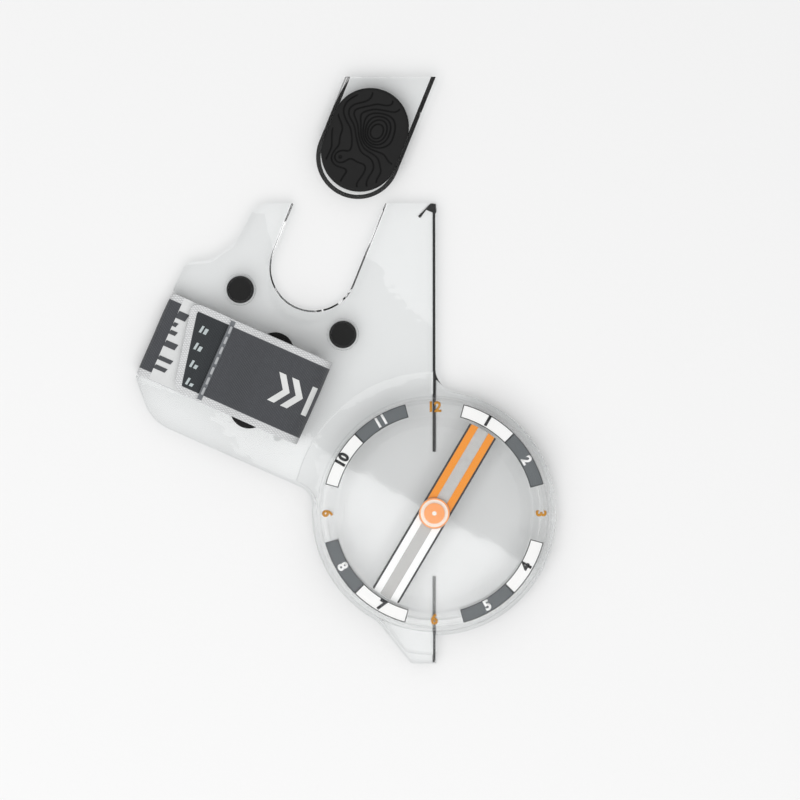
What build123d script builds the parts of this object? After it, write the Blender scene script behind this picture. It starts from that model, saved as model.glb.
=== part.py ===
from build123d import *
import os
from math import cos, radians, sin, tan

# Orienteering thumb compass, in millimetres.
# The frame: +Y is the direction of travel, +Z is up to the reader, and the origin
# is the capsule's axis on the flat underside of the clear plate.

# ---- driving dimensions: clear plate ----
plate_thickness = 2.8
front_y = 63.3
tail_y = -30.8
travel_edge_x = 0.45
tail_width = 5.2
tray_rim = 0.7
floor_thickness = 1.2
edge_round = 0.5
front_slope_run = 1.6
front_slope_drop = 0.7
terrace_width = 4.0
terrace_height = 0.8
terrace_round = 0.5
terrace_sink = 0.2
front_corner_x = -36.4
front_corner_round = 4.0
notch_points = [(-40.6, 55.3), (-45.8, 51.6)]
notch_rounds = [4.0, 5.0]
waist_offset = -16.8
waist_reach = (-17.4, 24.0)
waist_round = 9.0
neck_point = (-19.0, -13.0)
hidden_round = 1.0
tail_corner_round = 1.2
sharp_corner_round = 0.8
shoulder_fillet = 4.6
waist_fillet = 4.0
tail_fillet = 3.0

# ---- driving dimensions: thumb side of the plate ----
strap_tilt = 23.8
thumb_centre = (-35.2, 27.1)
edge_reach = 24.1
edge_ahead = 6.6
edge_behind = 0.6
edge_front_round = 1.5
edge_rear_round = 2.6
strap_width = 18.2
strap_thickness = 0.9
strap_slot_offset = 7.6
strap_slot_spare = 2.2
strap_slot_width = 1.7
strap_overhang = 11.9
strap_fold_round = 0.6
strap_lift = 0.05
channel_headroom = 0.15
channel_spare = 0.6
fold_spare = 0.4
edge_overrun = 4.0
arch_rise = 6.8
arch_foot = 1.0
arch_foot_drop = 0.3
arch_head = 2.6
arch_head_drop = 0.6
arch_side_rise = 2.8
arch_tuck = 0.3
arch_gap = 0.15
arch_rounds = [3.0, 6.0, 2.2, 1.6, 0.95, 0.6]
seam_offset = 10.7
sewn_overlap = 4.7
sewn_spare = 0.6
tab_reach_front = 19.5
tab_reach_rear = 15.7
tab_corner = 2.0
seam_corner = 0.3
patch_margin = 1.2
stitch_count = 7
stitch_margin = 2.4
stitch_offset = 0.75
stitch_fill = 0.72
stitch_width = 0.5
hook_thickness = 0.4
thread_thickness = 0.35

# ---- driving dimensions: rubber pieces ----
grip_overhang = 1.3
grip_width = 7.8
grip_inset = 0.4
grip_rise = 0.5
grip_round = 0.3
stud_centres = [(-39.7, 45.7), (-18.7, 36.5)]
stud_diameter = 4.6
stud_head_diameter = 5.6
stud_head_height = 0.8
stud_boss_diameter = 6.6
stud_boss_height = 0.5
stud_boss_draft = 8.0
stud_sink = 0.1

# ---- driving dimensions: sliding thumb clip ----
clip_tilt = 22.0
mouth_x = -19.4
slot_width = 17.4
slot_depth = 26.4
slot_chamfer = 0.35
ledge_width = 3.5
ledge_height = 1.2
rail_height = 0.9
rail_depth = 0.6
rail_below_ledge = 0.1
rail_length = 17.0
clip_clearance = 0.12
pull_out = 27.9
clip_pad_front_margin = 3.1
clip_pad_side_margin = 0.8
clip_pad_inset = 1.4
clip_pad_rise = 0.9
clip_pad_round = 0.6
wall_bevel_width = 0.92
wall_bevel_height = 1.1
rail_end_play = 0.5
mouth_overrun = 12.0
tongue_overrun = 8.0
clip_pad_setback = 1.7

# ---- driving dimensions: turning capsule ----
bezel_radius = 24.0
bezel_wall = 0.9
bezel_height = 7.6
bezel_lift = 1.6
bezel_round = 0.3
flange_reach = 1.4
cup_wall = 1.5
cup_floor = 1.0
cup_top = 6.6
flange_thickness = 1.0
lid_band = 0.8
lid_dome = 0.8
lid_round = 0.6
scale_inner_margin = 0.05
scale_outer_margin = 0.1
segment_angle = 30.0
ink_depth = 0.1
scale_pocket_depth = 0.25
washer_thickness = 0.25
washer_margin = 0.5
washer_width = 2.0
washer_play = 0.05
overrun = 0.1
running_gap = 0.15
well_gap = 0.3
collar_wall = 0.9
collar_top = 4.6
snap_groove_height = 0.8
snap_groove_base = 3.0
snap_groove_depth = 0.4
snap_gap_angle = 12.0
snap_play = 0.08
snap_outer_play = 0.12
snap_groove_play = 0.05
plug_radius = 1.1
plug_margin = 2.7

# ---- driving dimensions: needle and its bearing ----
needle_heading = 30.6
needle_gap = 0.5
needle_width = 6.2
needle_thickness = 0.3
needle_base = 4.7
window_width = 2.4
edge_line_width = 0.4
marking_thickness = 0.08
hub_radius = 3.1
hub_height = 0.7
hub_rim = 0.3
hub_recess = 0.3
cap_radius = 2.1
cap_height = 0.6
jewel_radius = 1.2
jewel_dot_radius = 0.45
jewel_drop = 0.7
magnet_radius = 2.7
magnet_height = 1.2
pin_radius = 0.5
pin_tip_radius = 0.35
pin_boss_radius = 1.6
pin_boss_height = 0.8
pin_depth = 0.6
pin_shoulder_drop = 0.2
pin_shoulder_run = 0.15
pin_point_length = 0.4
pin_point_radius = 0.08
bearing_clearance = 0.06
magnet_play = 0.05
marking_hub_gap = 0.1

# ---- driving dimensions: sighting line ----
line_width = 0.65
line_depth = 0.12
line_inner_end = 12.5
heel_inner_end = 13.0
barb_reach = (-3.3, -2.7)
barb_root = 2.0
barb_width = 0.4
barb_head = 0.5

# ---- derived sizes ----
plate_top = plate_thickness
well_radius = bezel_radius + well_gap
tray_radius = well_radius + tray_rim
terrace_radius = tray_radius + terrace_width
terrace_top = plate_top + terrace_height
capsule_base = floor_thickness + washer_thickness + washer_play
flange_radius = bezel_radius - bezel_wall
cup_radius = flange_radius - flange_reach
cup_bore = cup_radius - cup_wall
scale_inner_radius = cup_bore + scale_inner_margin
scale_outer_radius = flange_radius - scale_outer_margin
plug_offset = cup_bore - plug_margin
needle_radius = cup_bore - needle_gap
collar_inner = cup_radius + running_gap
collar_outer = collar_inner + collar_wall
lid_bottom = cup_top
scale_floor = cup_top - scale_pocket_depth
slot_radius = slot_width / 2
slot_run = slot_depth - slot_radius
barb_notch = (barb_reach[0] / 2, front_y + barb_reach[1] / 2 - barb_width / 4)
ledge_run = slot_run - ledge_width
rail_base = ledge_height - rail_below_ledge
clip_pad_width = slot_width - 2 * clip_pad_side_margin
clip_pad_length = slot_depth - clip_pad_setback - clip_pad_front_margin
strap_slot_length = strap_width + strap_slot_spare
strap_arch = plate_top + arch_rise
grip_length = strap_width + 2 * grip_overhang
channel_depth = strap_thickness + channel_headroom
under_z = strap_thickness / 2 + strap_lift
return_z = plate_top + strap_thickness / 2
tab_z = plate_top + 1.5 * strap_thickness + 2 * hook_thickness
seam_z = tab_z + strap_thickness
blade_top = needle_base + needle_thickness
hub_top = blade_top + hub_height


def turned(x, y, z, degrees):
    """A level plane at (x, y, z) whose +Y points `degrees` clockwise of the travel direction."""
    swing = radians(degrees)
    return Plane(origin=(x, y, z), x_dir=(cos(swing), -sin(swing), 0), z_dir=(0, 0, 1))


def needle_plane(z):
    return turned(0, 0, z, needle_heading)


def strap_plane(z):
    """Local X runs along the strap to the right, local Y runs along the thumb."""
    return turned(thumb_centre[0], thumb_centre[1], z, strap_tilt)


def strap_section():
    """Upright plane through the strap's middle: local X along the strap, local Y up."""
    swing = radians(strap_tilt)
    return Plane(origin=(*thumb_centre, 0), x_dir=(cos(swing), -sin(swing), 0),
                 z_dir=(-sin(swing), -cos(swing), 0))


def slot_plane(z, slide=0.0):
    """Local Y runs out of the clip slot's mouth; slide moves the plane out along it."""
    swing = radians(clip_tilt)
    return turned(mouth_x + slide * sin(swing), front_y + slide * cos(swing), z, clip_tilt)


def strap_point(along, across):
    """A point of the strap's own frame, in the part's frame."""
    swing = radians(strap_tilt)
    return (thumb_centre[0] + along * cos(swing) + across * sin(swing),
            thumb_centre[1] - along * sin(swing) + across * cos(swing))


def nearest_corner(sketch, x, y):
    return sketch.vertices().sort_by_distance((x, y, 0))[0]


def finish_piece(piece, name):
    piece.part.label = name
    export_step(piece.part, f"parts/{name}.step")


os.makedirs("parts", exist_ok=True)

# ---- plate outline: corner points and their rounding radii ----
edge_front = strap_point(-edge_reach, strap_width / 2 + edge_ahead)
edge_rear = strap_point(-edge_reach, -strap_width / 2 - edge_behind)
waist_start = strap_point(waist_reach[0], waist_offset)
waist_end = strap_point(waist_reach[1], waist_offset)
outline = [
    ((travel_edge_x, front_y), sharp_corner_round),
    ((front_corner_x, front_y), front_corner_round),
    (notch_points[0], notch_rounds[0]),
    (notch_points[1], notch_rounds[1]),
    (edge_front, edge_front_round),
    (edge_rear, edge_rear_round),
    (waist_start, waist_round),
    (waist_end, hidden_round),
    (neck_point, hidden_round),
    ((travel_edge_x - tail_width, tail_y), tail_corner_round),
    ((travel_edge_x, tail_y), sharp_corner_round),
]


# ---- clear plate: moulded in one with its tray, collar, ledge and bosses ----
with BuildPart() as base_plate:
    with BuildSketch() as plate_outline:
        with BuildLine():
            FilletPolyline(*[corner for corner, rounding in outline],
                           radius=[rounding for corner, rounding in outline], close=True)
        make_face()
        Circle(tray_radius)
        fillet(nearest_corner(plate_outline, travel_edge_x, tray_radius), radius=shoulder_fillet)
        fillet(nearest_corner(plate_outline, -tray_radius, tray_radius / 5), radius=waist_fillet)
        fillet(nearest_corner(plate_outline, -0.45 * tray_radius, -0.9 * tray_radius), radius=tail_fillet)
    extrude(amount=plate_top)
    rim = base_plate.faces().sort_by(Axis.Z)[-1].edges()
    fillet(rim, radius=edge_round)

    # slope along the front edge, which both arms share
    with BuildSketch(Plane.YZ.offset(-2 * terrace_radius)):
        with BuildLine():
            Polyline((front_y - front_slope_run, plate_top + overrun),
                     (front_y - front_slope_run, plate_top),
                     (front_y, plate_top - front_slope_drop),
                     (front_y + front_slope_run, plate_top - 2 * front_slope_drop),
                     (front_y + front_slope_run, plate_top + overrun), close=True)
        make_face()
    extrude(amount=2 * terrace_radius + tail_width, mode=Mode.SUBTRACT)

    # raised terrace round the capsule, on the thumb side
    with BuildSketch(Plane.XY.offset(plate_top - terrace_sink)):
        add(plate_outline.sketch)
        offset(amount=-edge_round - terrace_sink, mode=Mode.REPLACE)
        Circle(terrace_radius, mode=Mode.INTERSECT)
        with Locations((terrace_radius / 2 + travel_edge_x - edge_round - terrace_sink, 0)):
            Rectangle(terrace_radius, 4 * terrace_radius, mode=Mode.SUBTRACT)
    extrude(amount=terrace_height + terrace_sink)
    terrace_rim = base_plate.faces().sort_by(Axis.Z)[-1].edges()
    fillet(terrace_rim, radius=terrace_round)

    # bosses round the rubber studs
    with BuildSketch(Plane.XY.offset(plate_top)):
        with Locations(*stud_centres):
            Circle(stud_boss_diameter / 2)
    extrude(amount=stud_boss_height, taper=stud_boss_draft)

    # tray that the capsule turns in, and the collar that centres it
    with BuildSketch(Plane.XY.offset(floor_thickness)):
        Circle(well_radius)
    extrude(amount=plate_top + terrace_height, mode=Mode.SUBTRACT)
    with BuildSketch(Plane.XY.offset(floor_thickness)):
        Circle(collar_outer)
        Circle(collar_inner, mode=Mode.SUBTRACT)
    extrude(amount=collar_top - floor_thickness)
    with BuildSketch(Plane.XY.offset(snap_groove_base)):
        Circle(collar_outer + overrun)
        Circle(collar_outer - snap_groove_depth, mode=Mode.SUBTRACT)
    extrude(amount=snap_groove_height, mode=Mode.SUBTRACT)

    # clip slot: full width above the ledge, shorter at the ledge, with a groove in each wall
    with BuildSketch(slot_plane(ledge_height)):
        with Locations((0, (mouth_overrun - slot_run) / 2)):
            Rectangle(slot_width, slot_run + mouth_overrun)
        with Locations((0, -slot_run)):
            Circle(slot_radius)
    extrude(amount=plate_top, mode=Mode.SUBTRACT)
    with BuildSketch(slot_plane(0)):
        with Locations((0, (mouth_overrun - ledge_run) / 2)):
            Rectangle(slot_width, ledge_run + mouth_overrun)
        with Locations((0, -ledge_run)):
            Circle(slot_radius)
    extrude(amount=ledge_height, mode=Mode.SUBTRACT)
    with BuildSketch(slot_plane(0)):
        with Locations((0, (mouth_overrun - ledge_run) / 2)):
            Rectangle(slot_width + 2 * slot_chamfer, ledge_run + mouth_overrun)
        with Locations((0, -ledge_run)):
            Circle(slot_radius + slot_chamfer)
    extrude(amount=slot_chamfer, taper=45, mode=Mode.SUBTRACT)
    with BuildSketch(slot_plane(rail_base)):
        with Locations((0, (mouth_overrun - rail_length) / 2)):
            Rectangle(slot_width + 2 * rail_depth, rail_length + mouth_overrun)
    extrude(amount=rail_height, mode=Mode.SUBTRACT)

    # strap slot, and the channel under the plate that the strap lies in
    with BuildSketch(strap_plane(0)):
        with Locations((strap_slot_offset, 0)):
            SlotOverall(strap_slot_length, strap_slot_width, rotation=90)
    extrude(amount=plate_top, mode=Mode.SUBTRACT)
    with BuildSketch(strap_plane(0)):
        with Locations(((strap_slot_offset - edge_reach - edge_overrun) / 2, 0)):
            Rectangle(strap_slot_offset + edge_reach + edge_overrun, strap_width + channel_spare)
    extrude(amount=channel_depth, mode=Mode.SUBTRACT)
    with BuildSketch(strap_plane(0)):
        with Locations((-edge_reach, 0)):
            Rectangle(2 * strap_thickness + fold_spare, strap_width + channel_spare)
    extrude(amount=plate_top, mode=Mode.SUBTRACT)

    # seats of the rubber pieces
    with BuildSketch(strap_plane(plate_top - grip_inset)):
        SlotOverall(grip_length, grip_width, rotation=90)
    extrude(amount=plate_top, mode=Mode.SUBTRACT)
    with BuildSketch():
        with Locations(*stud_centres):
            Circle(stud_diameter / 2)
    extrude(amount=plate_top + stud_boss_height, mode=Mode.SUBTRACT)
    with BuildSketch():
        with Locations(*stud_centres):
            Circle(stud_head_diameter / 2)
    extrude(amount=stud_head_height, mode=Mode.SUBTRACT)

    # grooves that hold the sighting line's paint
    with BuildSketch() as travel_sketch:
        with Locations((0, (front_y + line_inner_end) / 2)):
            Rectangle(line_width, front_y - line_inner_end)
        with BuildLine():
            Polyline((line_width / 2, front_y), (line_width / 2, front_y - barb_root),
                     (-line_width / 2, front_y - barb_root), barb_notch,
                     (barb_reach[0] + barb_width, front_y + barb_reach[1] - barb_width),
                     (barb_reach[0], front_y + barb_reach[1]), (-barb_head, front_y), close=True)
        make_face()
    extrude(amount=line_depth, mode=Mode.SUBTRACT)
    with BuildSketch() as heel_sketch:
        with Locations((0, (tail_y - heel_inner_end) / 2)):
            Rectangle(line_width, -tail_y - heel_inner_end)
    extrude(amount=line_depth, mode=Mode.SUBTRACT)
finish_piece(base_plate, "base_plate")


# ---- sighting line: black paint in the groove ahead, grey paint in the one behind ----
with BuildPart() as travel_line:
    with BuildSketch():
        add(travel_sketch.sketch)
    extrude(amount=line_depth)
finish_piece(travel_line, "travel_line")

with BuildPart() as heel_line:
    with BuildSketch():
        add(heel_sketch.sketch)
    extrude(amount=line_depth)
finish_piece(heel_line, "heel_line")


# ---- rubber studs: headed plugs pushed up through the plate ----
with BuildPart() as rubber_studs:
    with BuildSketch():
        with Locations(*stud_centres):
            Circle(stud_head_diameter / 2)
    extrude(amount=stud_head_height)
    with BuildSketch(Plane.XY.offset(stud_head_height)):
        with Locations(*stud_centres):
            Circle(stud_diameter / 2)
    extrude(amount=plate_top + stud_boss_height - stud_head_height - stud_sink)
finish_piece(rubber_studs, "rubber_studs")


# ---- thumb grip: rubber strip bonded in the plate under the strap ----
with BuildPart() as thumb_grip:
    with BuildSketch(strap_plane(plate_top - grip_inset)):
        SlotOverall(grip_length, grip_width, rotation=90)
    extrude(amount=grip_inset + grip_rise)
    fillet(thumb_grip.faces().sort_by(Axis.Z)[-1].edges(), radius=grip_round)
finish_piece(thumb_grip, "thumb_grip")


# ---- strap: an over-band arched for the thumb, and a base band round the plate's edge ----
over_left = -seam_offset
over_right = strap_overhang - strap_thickness / 2
with BuildPart() as strap_over_band:
    with BuildSketch(strap_section()):
        with BuildLine():
            FilletPolyline((over_left, seam_z), (over_left + sewn_overlap + sewn_spare, seam_z),
                           (arch_foot, strap_arch - arch_foot_drop),
                           (over_right - arch_head, strap_arch - arch_head_drop),
                           (over_right, plate_top + arch_side_rise),
                           (over_right - arch_tuck, return_z + arch_gap),
                           (strap_slot_offset, return_z + arch_gap),
                           (strap_slot_offset, under_z + strap_thickness / 2),
                           radius=arch_rounds)
        trace(line_width=strap_thickness)
    extrude(amount=strap_width / 2, both=True)
finish_piece(strap_over_band, "strap_over_band")

base_left = -edge_reach + strap_thickness / 2
with BuildPart() as strap_base_band:
    with BuildSketch(strap_section()):
        with BuildLine():
            FilletPolyline((strap_slot_offset + strap_thickness / 2, under_z), (base_left, under_z),
                           (base_left, return_z), (over_left + sewn_overlap, return_z),
                           radius=strap_fold_round)
        trace(line_width=strap_thickness)
    extrude(amount=strap_width / 2, both=True)
finish_piece(strap_base_band, "strap_base_band")


# ---- end tab of the strap, held down by its hook and loop patches ----
def tab_outline(inset):
    """The tab seen from above: square at the seam, slanted and rounded at its free end."""
    half = strap_width / 2 - inset
    right = over_left + sewn_overlap - inset
    with BuildSketch() as tab:
        with BuildLine():
            FilletPolyline((right, half), (-tab_reach_front + inset, half),
                           (-tab_reach_rear + inset, -half), (right, -half),
                           radius=[seam_corner, tab_corner, tab_corner, seam_corner], close=True)
        make_face()
    return tab.sketch


with BuildPart() as strap_end_tab:
    with BuildSketch(strap_plane(tab_z - strap_thickness / 2)):
        add(tab_outline(0))
    extrude(amount=strap_thickness)
finish_piece(strap_end_tab, "strap_end_tab")

with BuildPart() as hook_patch:
    with BuildSketch(strap_plane(tab_z - strap_thickness / 2 - hook_thickness)):
        add(tab_outline(patch_margin))
    extrude(amount=hook_thickness)
finish_piece(hook_patch, "hook_patch")

with BuildPart() as loop_patch:
    with BuildSketch(strap_plane(plate_top + strap_thickness)):
        add(tab_outline(patch_margin))
    extrude(amount=hook_thickness)
finish_piece(loop_patch, "loop_patch")


# ---- stitching: a row of thread bars across the strap's seam ----
stitch_pitch = (strap_width - stitch_margin) / stitch_count
with BuildPart() as seam_stitching:
    with BuildSketch(strap_plane(seam_z + strap_thickness / 2)):
        with Locations((over_left + stitch_offset, 0)):
            with GridLocations(1, stitch_pitch, 1, stitch_count):
                SlotOverall(stitch_pitch * stitch_fill, stitch_width, rotation=90)
    extrude(amount=thread_thickness)
finish_piece(seam_stitching, "seam_stitching")


# ---- thumb clip: clear tongue with two rails, and its rubber pad ----
clip_half = slot_radius - clip_clearance
clip_front_y = front_y + pull_out * cos(radians(clip_tilt))
with BuildPart() as clip_tongue:
    with BuildSketch(slot_plane(ledge_height + clip_clearance, pull_out)):
        with Locations((0, (tongue_overrun - slot_run) / 2)):
            Rectangle(2 * clip_half, slot_run + tongue_overrun)
        with Locations((0, -slot_run)):
            Circle(clip_half)
    extrude(amount=plate_top - ledge_height - clip_clearance)
    tip_foot = clip_tongue.faces().sort_by(Axis.Z)[0]
    chamfer(tip_foot.edges(), length=wall_bevel_width, length2=wall_bevel_height, reference=tip_foot)
    with BuildSketch(slot_plane(0, pull_out)):
        with Locations((0, (tongue_overrun - ledge_run) / 2)):
            Rectangle(2 * clip_half, ledge_run + tongue_overrun)
        with Locations((0, -ledge_run)):
            Circle(clip_half)
    extrude(amount=ledge_height + clip_clearance + wall_bevel_height)
    side_foot = clip_tongue.faces().sort_by(Axis.Z)[0]
    chamfer(side_foot.edges(), length=wall_bevel_width, length2=wall_bevel_height, reference=side_foot)
    with BuildSketch(slot_plane(rail_base + clip_clearance, pull_out)):
        with Locations((0, (tongue_overrun - rail_length + rail_end_play) / 2)):
            Rectangle(slot_width + 2 * rail_depth - 2 * clip_clearance,
                      rail_length - rail_end_play + tongue_overrun)
    extrude(amount=rail_height - 2 * clip_clearance)
    with BuildSketch():
        with Locations((mouth_x, clip_front_y + mouth_overrun)):
            Rectangle(4 * slot_width, 2 * mouth_overrun)
    extrude(amount=plate_top, mode=Mode.SUBTRACT)
    with BuildSketch(slot_plane(plate_top - clip_pad_inset, pull_out)):
        with Locations((0, -slot_depth + clip_pad_setback + clip_pad_length / 2)):
            SlotOverall(clip_pad_length, clip_pad_width, rotation=90)
    extrude(amount=plate_top, mode=Mode.SUBTRACT)
finish_piece(clip_tongue, "clip_tongue")

with BuildPart() as clip_pad:
    with BuildSketch(slot_plane(plate_top - clip_pad_inset, pull_out)):
        with Locations((0, -slot_depth + clip_pad_setback + clip_pad_length / 2)):
            SlotOverall(clip_pad_length, clip_pad_width, rotation=90)
    extrude(amount=clip_pad_inset + clip_pad_rise)
    fillet(clip_pad.faces().sort_by(Axis.Z)[-1].edges(), radius=clip_pad_round)
finish_piece(clip_pad, "clip_pad")


# ---- glide washer between the plate's tray and the capsule ----
with BuildPart() as glide_washer:
    with BuildSketch(Plane.XY.offset(floor_thickness)):
        Circle(cup_bore - washer_margin)
        Circle(cup_bore - washer_margin - washer_width, mode=Mode.SUBTRACT)
    extrude(amount=washer_thickness)
finish_piece(glide_washer, "glide_washer")


# ---- snap ring: split ring in the collar's groove, which keeps the bezel down ----
with BuildPart() as snap_ring:
    with BuildSketch(Plane.XY.offset(snap_groove_base + snap_play)):
        Circle(flange_radius + snap_groove_depth - snap_outer_play)
        Circle(collar_outer - snap_groove_depth + snap_groove_play, mode=Mode.SUBTRACT)
        with Locations((0, -bezel_radius)):
            Rectangle(2 * bezel_radius * sin(radians(snap_gap_angle / 2)), bezel_radius / 2,
                      mode=Mode.SUBTRACT)
    extrude(amount=snap_groove_height - 2 * snap_play)
finish_piece(snap_ring, "snap_ring")


# ---- bezel: clear grip ring round the capsule ----
with BuildPart() as bezel_ring:
    with BuildSketch(Plane.XY.offset(bezel_lift)):
        Circle(bezel_radius)
        Circle(flange_radius, mode=Mode.SUBTRACT)
    extrude(amount=bezel_height - bezel_lift)
    with BuildSketch(Plane.XY.offset(snap_groove_base - snap_groove_play)):
        Circle(flange_radius + snap_groove_depth)
    extrude(amount=snap_groove_height + 2 * snap_groove_play, mode=Mode.SUBTRACT)
    fillet(bezel_ring.faces().sort_by(Axis.Z)[-1].edges(), radius=bezel_round)
finish_piece(bezel_ring, "bezel_ring")


# ---- scale segments: ink on the sunk top of the cup's wall and flange, under the lid ----
def segments(first_hour):
    """Four sectors of one clock hour each, a quarter turn apart."""
    reach = 2 * scale_outer_radius
    spread = reach * tan(radians(segment_angle / 2))
    with BuildSketch() as wedge:
        with BuildLine():
            Polyline((0, 0), (reach, -spread), (reach, spread), close=True)
        make_face()
    with BuildSketch() as sectors:
        with PolarLocations(0, 4, start_angle=90 - segment_angle * first_hour):
            add(wedge.sketch)
        Circle(scale_outer_radius, mode=Mode.INTERSECT)
        Circle(scale_inner_radius, mode=Mode.SUBTRACT)
    return sectors.sketch


# ---- capsule cup: clear moulded bowl with its flange, pin boss and filling hole ----
with BuildPart() as capsule_cup:
    with BuildSketch(Plane.XY.offset(capsule_base)):
        Circle(cup_radius)
    extrude(amount=cup_top - capsule_base)
    with BuildSketch(Plane.XY.offset(cup_top - flange_thickness)):
        Circle(flange_radius)
    extrude(amount=flange_thickness)
    with BuildSketch(Plane.XY.offset(capsule_base + cup_floor)):
        Circle(cup_bore)
    extrude(amount=cup_top, mode=Mode.SUBTRACT)
    with BuildSketch(Plane.XY.offset(capsule_base + cup_floor)):
        Circle(pin_boss_radius)
    extrude(amount=pin_boss_height)
    with BuildSketch(Plane.XY.offset(capsule_base + cup_floor - pin_depth)):
        Circle(pin_radius)
    extrude(amount=pin_depth + pin_boss_height, mode=Mode.SUBTRACT)
    with BuildSketch(Plane.XY.offset(capsule_base)):
        with Locations((0, plug_offset)):
            Circle(plug_radius)
    extrude(amount=cup_floor, mode=Mode.SUBTRACT)
    with BuildSketch(Plane.XY.offset(scale_floor)):
        Circle(scale_outer_radius)
    extrude(amount=scale_pocket_depth, mode=Mode.SUBTRACT)
finish_piece(capsule_cup, "capsule_cup")

with BuildPart() as light_segments:
    with BuildSketch(Plane.XY.offset(scale_floor)):
        add(segments(1))
    extrude(amount=ink_depth)
finish_piece(light_segments, "light_segments")

with BuildPart() as dark_segments:
    with BuildSketch(Plane.XY.offset(scale_floor)):
        add(segments(2))
    extrude(amount=ink_depth)
finish_piece(dark_segments, "dark_segments")

with BuildPart() as filler_plug:
    with BuildSketch(Plane.XY.offset(capsule_base)):
        with Locations((0, plug_offset)):
            Circle(plug_radius)
    extrude(amount=cup_floor)
finish_piece(filler_plug, "filler_plug")


# ---- capsule lid: clear lens with a raised middle, bonded on the flange ----
with BuildPart() as capsule_lid:
    with BuildSketch(Plane.XY.offset(lid_bottom)):
        Circle(flange_radius)
    extrude(amount=lid_band)
    with BuildSketch(Plane.XY.offset(lid_bottom + lid_band)):
        Circle(cup_radius)
    extrude(amount=lid_dome)
    fillet(capsule_lid.faces().sort_by(Axis.Z)[-1].edges(), radius=lid_round)
finish_piece(capsule_lid, "capsule_lid")


# ---- pivot pin: hardened steel, pressed in the cup's boss ----
pin_base = capsule_base + cup_floor - pin_depth
jewel_base = needle_base - jewel_drop
jewel_roof = blade_top
pin_top = jewel_roof - bearing_clearance
pin_shoulder = jewel_base - pin_shoulder_drop
with BuildPart() as pivot_pin:
    with BuildSketch(Plane.XZ):
        with BuildLine():
            Polyline((0, pin_base), (pin_radius, pin_base), (pin_radius, pin_shoulder),
                     (pin_tip_radius, pin_shoulder + pin_shoulder_run),
                     (pin_tip_radius, pin_top - pin_point_length),
                     (pin_point_radius, pin_top), (0, pin_top), close=True)
        make_face()
    revolve(axis=Axis.Z)
finish_piece(pivot_pin, "pivot_pin")


# ---- needle blade: thin clear strip with round ends ----
def blade_band(inner, outer, north):
    """Both bands of the blade from inner to outer off its middle, on one half of the needle."""
    side = 1 if north else -1
    with BuildSketch() as band:
        for hand in (-1, 1):
            with Locations((hand * (inner + outer) / 2, side * needle_radius / 2)):
                Rectangle(outer - inner, needle_radius)
        Circle(needle_radius, mode=Mode.INTERSECT)
        Circle(hub_radius + marking_hub_gap, mode=Mode.SUBTRACT)
    return band.sketch


with BuildPart() as needle_blade:
    with BuildSketch(needle_plane(needle_base)):
        Circle(needle_radius)
        Rectangle(needle_width, 2 * needle_radius, mode=Mode.INTERSECT)
        Circle(jewel_radius, mode=Mode.SUBTRACT)
    extrude(amount=needle_thickness)
finish_piece(needle_blade, "needle_blade")

band_edge = needle_width / 2 - edge_line_width
with BuildPart() as north_marking:
    with BuildSketch(needle_plane(blade_top)):
        add(blade_band(window_width / 2, band_edge, True))
    extrude(amount=marking_thickness)
finish_piece(north_marking, "north_marking")

with BuildPart() as south_marking:
    with BuildSketch(needle_plane(blade_top)):
        add(blade_band(window_width / 2, band_edge, False))
    extrude(amount=marking_thickness)
finish_piece(south_marking, "south_marking")

with BuildPart() as needle_edge_lines:
    with BuildSketch(needle_plane(blade_top)):
        add(blade_band(band_edge, needle_width / 2, True))
        add(blade_band(band_edge, needle_width / 2, False))
    extrude(amount=marking_thickness)
finish_piece(needle_edge_lines, "needle_edge_lines")


# ---- needle hub: orange cup, pale washer, orange cap, jewel and magnet ----
with BuildPart() as needle_hub:
    with BuildSketch(Plane.XY.offset(blade_top)):
        Circle(hub_radius)
        Circle(jewel_radius, mode=Mode.SUBTRACT)
    extrude(amount=hub_height)
    with BuildSketch(Plane.XY.offset(hub_top - hub_recess)):
        Circle(hub_radius - hub_rim)
    extrude(amount=hub_recess, mode=Mode.SUBTRACT)
finish_piece(needle_hub, "needle_hub")

with BuildPart() as hub_washer:
    with BuildSketch(Plane.XY.offset(hub_top - hub_recess)):
        Circle(hub_radius - hub_rim)
        Circle(cap_radius, mode=Mode.SUBTRACT)
    extrude(amount=hub_recess)
finish_piece(hub_washer, "hub_washer")

with BuildPart() as hub_cap:
    with BuildSketch(Plane.XY.offset(hub_top - hub_recess)):
        Circle(cap_radius)
        Circle(jewel_dot_radius, mode=Mode.SUBTRACT)
    extrude(amount=cap_height)
finish_piece(hub_cap, "hub_cap")

with BuildPart() as jewel_bearing:
    with BuildSketch(Plane.XZ):
        with BuildLine():
            Polyline((0, jewel_roof), (pin_point_radius + bearing_clearance, jewel_roof),
                     (pin_tip_radius + bearing_clearance, jewel_roof - pin_point_length),
                     (pin_tip_radius + bearing_clearance, jewel_base), (jewel_radius, jewel_base),
                     (jewel_radius, hub_top - hub_recess), (jewel_dot_radius, hub_top - hub_recess),
                     (jewel_dot_radius, hub_top - hub_recess + cap_height),
                     (0, hub_top - hub_recess + cap_height), close=True)
        make_face()
    revolve(axis=Axis.Z)
finish_piece(jewel_bearing, "jewel_bearing")

with BuildPart() as needle_magnet:
    with BuildSketch(Plane.XY.offset(needle_base - magnet_height)):
        Circle(magnet_radius)
        Circle(jewel_radius + magnet_play, mode=Mode.SUBTRACT)
    extrude(amount=magnet_height)
finish_piece(needle_magnet, "needle_magnet")
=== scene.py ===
import bpy
from math import cos, exp, floor, pi, radians, sin, sqrt
from mathutils import Matrix, Vector, noise


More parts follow.
